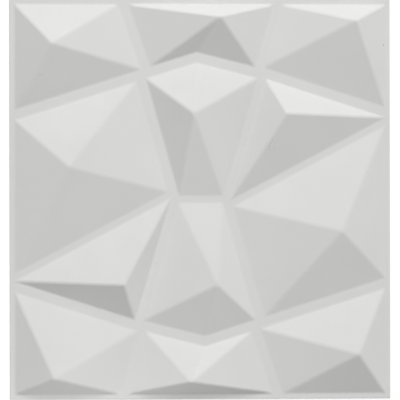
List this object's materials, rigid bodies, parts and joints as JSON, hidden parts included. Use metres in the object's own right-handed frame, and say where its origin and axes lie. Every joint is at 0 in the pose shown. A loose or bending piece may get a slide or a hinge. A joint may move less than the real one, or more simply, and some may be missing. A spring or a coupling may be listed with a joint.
{
  "type": "3d wall panel tile",
  "caption": "Square formed plastic wall panel with a relief of off-centre pyramids between flat grooves, hollow at the back.",
  "frame": {"origin": "middle of the tile at the level of its back, where the flat rims and grooves meet the wall", "axes": "+Z out of the face, +Y towards the side that is up in the picture, +X to the right"},
  "size_m": [0.5, 0.5, 0.0225],
  "materials": {
    "white_pvc": "matte white, soft satin grain"
  },
  "bodies": {
    "root": {"relief_panel": "white_pvc"}
  },
  "joints": []
}
